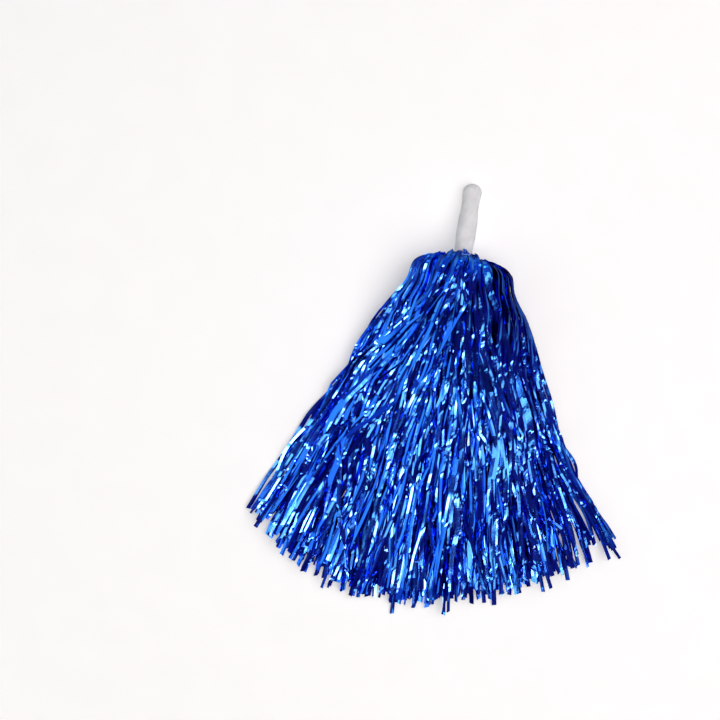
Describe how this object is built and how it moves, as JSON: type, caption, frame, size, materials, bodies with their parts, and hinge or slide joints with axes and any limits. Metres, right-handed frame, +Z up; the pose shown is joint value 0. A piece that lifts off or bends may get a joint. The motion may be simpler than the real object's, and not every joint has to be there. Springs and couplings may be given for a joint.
{
  "type": "cheer pom pom",
  "caption": "Cheer pom pom lying on a table: a short white stick handle, a tied neck and a fan of metallic blue foil ribbons in tufts that lift about the tie.",
  "frame": {"origin": "the point on the table straight below the middle of the cable tie", "axes": "+Y along the handle's line on the table towards the knob, the ribbons fan out towards -Y; +Z up from the table; +X to the right when the handle points away from the viewer"},
  "size_m": [0.3259, 0.3675, 0.063],
  "materials": {
    "handle_plastic": "satin",
    "foil": "gloss",
    "tape": "satin",
    "tie_nylon": "satin"
  },
  "bodies": {
    "handle_and_neck": {"handle": "handle_plastic", "ribbon_roll": "foil", "binding_tape": "tape", "cable_tie": "tie_nylon", "neck_fold": "foil"},
    "tuft_1": {"tuft_1_lower": "foil", "tuft_1_upper": "foil"},
    "tuft_2": {"tuft_2_lower": "foil", "tuft_2_upper": "foil"},
    "tuft_3": {"tuft_3_lower": "foil", "tuft_3_upper": "foil"},
    "tuft_4": {"tuft_4_lower": "foil", "tuft_4_upper": "foil"},
    "tuft_5": {"tuft_5_lower": "foil", "tuft_5_upper": "foil"},
    "tuft_6": {"tuft_6_lower": "foil", "tuft_6_upper": "foil"},
    "tuft_7": {"tuft_7_lower": "foil", "tuft_7_upper": "foil"},
    "tuft_8": {"tuft_8_lower": "foil", "tuft_8_upper": "foil"},
    "tuft_9": {"tuft_9_lower": "foil", "tuft_9_upper": "foil"}
  },
  "joints": [
    {"name": "tuft_1_lift", "type": "hinge", "parent": "handle_and_neck", "child": "tuft_1", "pos_m": [0, 0, 0.03], "axis": [-1, 0, 0], "range_deg": [0, 70]},
    {"name": "tuft_2_lift", "type": "hinge", "parent": "handle_and_neck", "child": "tuft_2", "pos_m": [0, 0, 0.03], "axis": [-1, 0, 0], "range_deg": [0, 70]},
    {"name": "tuft_3_lift", "type": "hinge", "parent": "handle_and_neck", "child": "tuft_3", "pos_m": [0, 0, 0.03], "axis": [-1, 0, 0], "range_deg": [0, 70]},
    {"name": "tuft_4_lift", "type": "hinge", "parent": "handle_and_neck", "child": "tuft_4", "pos_m": [0, 0, 0.03], "axis": [-1, 0, 0], "range_deg": [0, 70]},
    {"name": "tuft_5_lift", "type": "hinge", "parent": "handle_and_neck", "child": "tuft_5", "pos_m": [0, 0, 0.03], "axis": [-1, 0, 0], "range_deg": [0, 70]},
    {"name": "tuft_6_lift", "type": "hinge", "parent": "handle_and_neck", "child": "tuft_6", "pos_m": [0, 0, 0.03], "axis": [-1, 0, 0], "range_deg": [0, 70]},
    {"name": "tuft_7_lift", "type": "hinge", "parent": "handle_and_neck", "child": "tuft_7", "pos_m": [0, 0, 0.03], "axis": [-1, 0, 0], "range_deg": [0, 70]},
    {"name": "tuft_8_lift", "type": "hinge", "parent": "handle_and_neck", "child": "tuft_8", "pos_m": [0, 0, 0.03], "axis": [-1, 0, 0], "range_deg": [0, 70]},
    {"name": "tuft_9_lift", "type": "hinge", "parent": "handle_and_neck", "child": "tuft_9", "pos_m": [0, 0, 0.03], "axis": [-1, 0, 0], "range_deg": [0, 70]}
  ]
}
